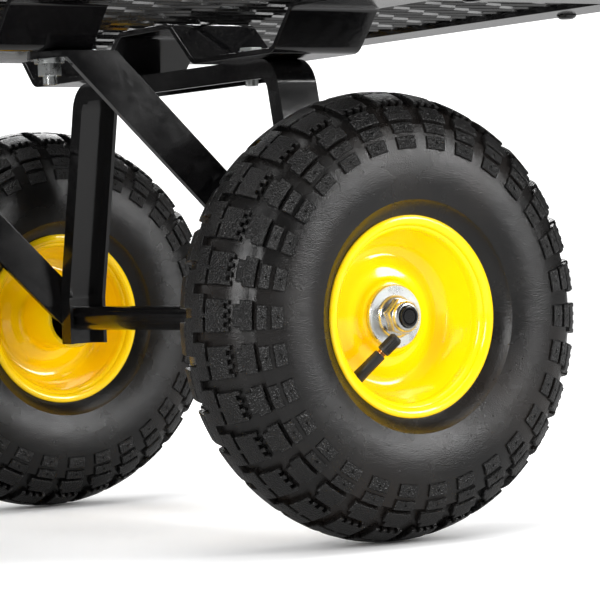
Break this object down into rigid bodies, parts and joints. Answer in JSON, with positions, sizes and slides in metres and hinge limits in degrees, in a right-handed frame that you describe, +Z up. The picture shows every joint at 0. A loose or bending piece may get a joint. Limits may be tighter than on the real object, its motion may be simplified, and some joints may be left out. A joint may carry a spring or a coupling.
{
  "type": "garden cart",
  "caption": "Four-wheel garden cart with a steel mesh bed, fold-down mesh sides, pneumatic tyres, linked front steering and a pull handle with a grip loop.",
  "frame": {"origin": "on the ground, at the middle of the footprint's bounding box", "axes": "+X forwards to the pull handle, +Y to the cart's left, +Z up"},
  "size_m": [1.09, 0.604, 0.9637],
  "materials": {
    "black_paint": "glossy black powder coat",
    "mesh_paint": "black powder coat on expanded steel",
    "yellow_paint": "glossy yellow enamel",
    "zinc": "bright zinc plate",
    "tyre_rubber": "moulded black rubber",
    "black_rubber": "soft black rubber"
  },
  "bodies": {
    "cart": {"bed_rail_left": "black_paint", "bed_rail_right": "black_paint", "bed_rail_front": "black_paint", "bed_rail_rear": "black_paint", "bed_mesh": "mesh_paint", "bed_screws": "black_paint", "cross_member_rear": "black_paint", "cross_member_mid_rear": "black_paint", "cross_member_mid_front": "black_paint", "cross_member_front": "black_paint", "rear_axle_frame": "black_paint", "rear_axle": "black_paint", "rear_axle_nuts": "zinc", "rear_brace_left": "black_paint", "rear_brace_right": "black_paint", "front_axle_frame": "black_paint", "front_brace_left": "black_paint", "front_brace_right": "black_paint", "frame_bolts": "zinc", "brace_bolts": "zinc", "steering_pivots": "zinc"},
    "wheel_rear_left": {"tyre_rear_left": "tyre_rubber", "rim_rear_left": "yellow_paint", "bearings_rear_left": "zinc", "valve_rear_left": "black_rubber"},
    "wheel_rear_right": {"tyre_rear_right": "tyre_rubber", "rim_rear_right": "yellow_paint", "bearings_rear_right": "zinc", "valve_rear_right": "black_rubber"},
    "wheel_front_left": {"tyre_front_left": "tyre_rubber", "rim_front_left": "yellow_paint", "bearings_front_left": "zinc", "valve_front_left": "black_rubber"},
    "wheel_front_right": {"tyre_front_right": "tyre_rubber", "rim_front_right": "yellow_paint", "bearings_front_right": "zinc", "valve_front_right": "black_rubber"},
    "knuckle_left": {"knuckle_left": "black_paint", "spindle_nuts_left": "zinc"},
    "knuckle_right": {"knuckle_right": "black_paint", "spindle_nuts_right": "zinc"},
    "tie_rod_left": {"tie_rod_left": "black_paint"},
    "tie_rod_right": {"tie_rod_right": "black_paint"},
    "tongue": {"tongue": "black_paint", "handle_pin": "zinc"},
    "handle": {"handle_tube": "black_paint", "handle_loop": "black_paint", "handle_grip": "black_rubber"},
    "side_left": {"side_frame_left": "black_paint", "side_mesh_left": "mesh_paint"},
    "side_right": {"side_frame_right": "black_paint", "side_mesh_right": "mesh_paint"},
    "tail": {"tail_frame": "black_paint", "tail_mesh": "mesh_paint"},
    "front_panel": {"front_frame": "black_paint", "front_mesh": "mesh_paint"},
    "latch_rear_left": {"latch_rear_left": "zinc"},
    "latch_rear_right": {"latch_rear_right": "zinc"},
    "latch_front_left": {"latch_front_left": "zinc"},
    "latch_front_right": {"latch_front_right": "zinc"}
  },
  "joints": [
    {"name": "wheel_rear_left_spin", "type": "hinge", "parent": "cart", "child": "wheel_rear_left", "pos_m": [-0.329, 0.2015, 0.13], "axis": [0, 1, 0], "continuous": true},
    {"name": "wheel_rear_right_spin", "type": "hinge", "parent": "cart", "child": "wheel_rear_right", "pos_m": [-0.329, -0.2015, 0.13], "axis": [0, 1, 0], "continuous": true},
    {"name": "wheel_front_left_spin", "type": "hinge", "parent": "knuckle_left", "child": "wheel_front_left", "pos_m": [0.242, 0.2015, 0.13], "axis": [0, 1, 0], "continuous": true},
    {"name": "wheel_front_right_spin", "type": "hinge", "parent": "knuckle_right", "child": "wheel_front_right", "pos_m": [0.242, -0.2015, 0.13], "axis": [0, 1, 0], "continuous": true},
    {"name": "steering", "type": "hinge", "parent": "cart", "child": "tongue", "pos_m": [0.242, 0, 0.13], "axis": [0, 0, 1], "range_deg": [-28, 28]},
    {"name": "knuckle_left_turn", "type": "hinge", "parent": "cart", "child": "knuckle_left", "pos_m": [0.242, 0.1322, 0.13], "axis": [0, 0, 1], "range_deg": [-28, 28]},
    {"name": "tie_rod_left_turn", "type": "hinge", "parent": "tongue", "child": "tie_rod_left", "pos_m": [0.317, 0.008, 0.105], "axis": [0, 0, 1], "range_deg": [-28, 28]},
    {"name": "knuckle_right_turn", "type": "hinge", "parent": "cart", "child": "knuckle_right", "pos_m": [0.242, -0.1322, 0.13], "axis": [0, 0, 1], "range_deg": [-28, 28]},
    {"name": "tie_rod_right_turn", "type": "hinge", "parent": "tongue", "child": "tie_rod_right", "pos_m": [0.317, -0.008, 0.105], "axis": [0, 0, 1], "range_deg": [-28, 28]},
    {"name": "handle_swing", "type": "hinge", "parent": "tongue", "child": "handle", "pos_m": [0.529, 0, 0.13], "axis": [0, 1, 0], "range_deg": [0, 100]},
    {"name": "side_left_fold", "type": "hinge", "parent": "cart", "child": "side_left", "pos_m": [-0.0435, 0.262, 0.3445], "axis": [-1, 0, 0], "range_deg": [0, 160]},
    {"name": "side_right_fold", "type": "hinge", "parent": "cart", "child": "side_right", "pos_m": [-0.0435, -0.262, 0.3445], "axis": [1, 0, 0], "range_deg": [0, 160]},
    {"name": "tail_fold", "type": "hinge", "parent": "cart", "child": "tail", "pos_m": [-0.534, 0, 0.3445], "axis": [0, -1, 0], "range_deg": [0, 180]},
    {"name": "front_panel_lift", "type": "slide", "parent": "cart", "child": "front_panel", "axis": [0, 0, 1], "range_m": [0, 0.025]},
    {"name": "latch_rear_left_slide", "type": "slide", "parent": "side_left", "child": "latch_rear_left", "axis": [-1, 0, 0], "range_m": [0, 0.016]},
    {"name": "latch_rear_right_slide", "type": "slide", "parent": "side_right", "child": "latch_rear_right", "axis": [-1, 0, 0], "range_m": [0, 0.016]},
    {"name": "latch_front_left_slide", "type": "slide", "parent": "side_left", "child": "latch_front_left", "axis": [1, 0, 0], "range_m": [0, 0.016]},
    {"name": "latch_front_right_slide", "type": "slide", "parent": "side_right", "child": "latch_front_right", "axis": [1, 0, 0], "range_m": [0, 0.016]}
  ],
  "couplings": [
    {"joint": "knuckle_left_turn", "follows": "steering", "ratio": 1},
    {"joint": "knuckle_right_turn", "follows": "steering", "ratio": 1},
    {"joint": "tie_rod_left_turn", "follows": "steering", "ratio": -1},
    {"joint": "tie_rod_right_turn", "follows": "steering", "ratio": -1}
  ]
}
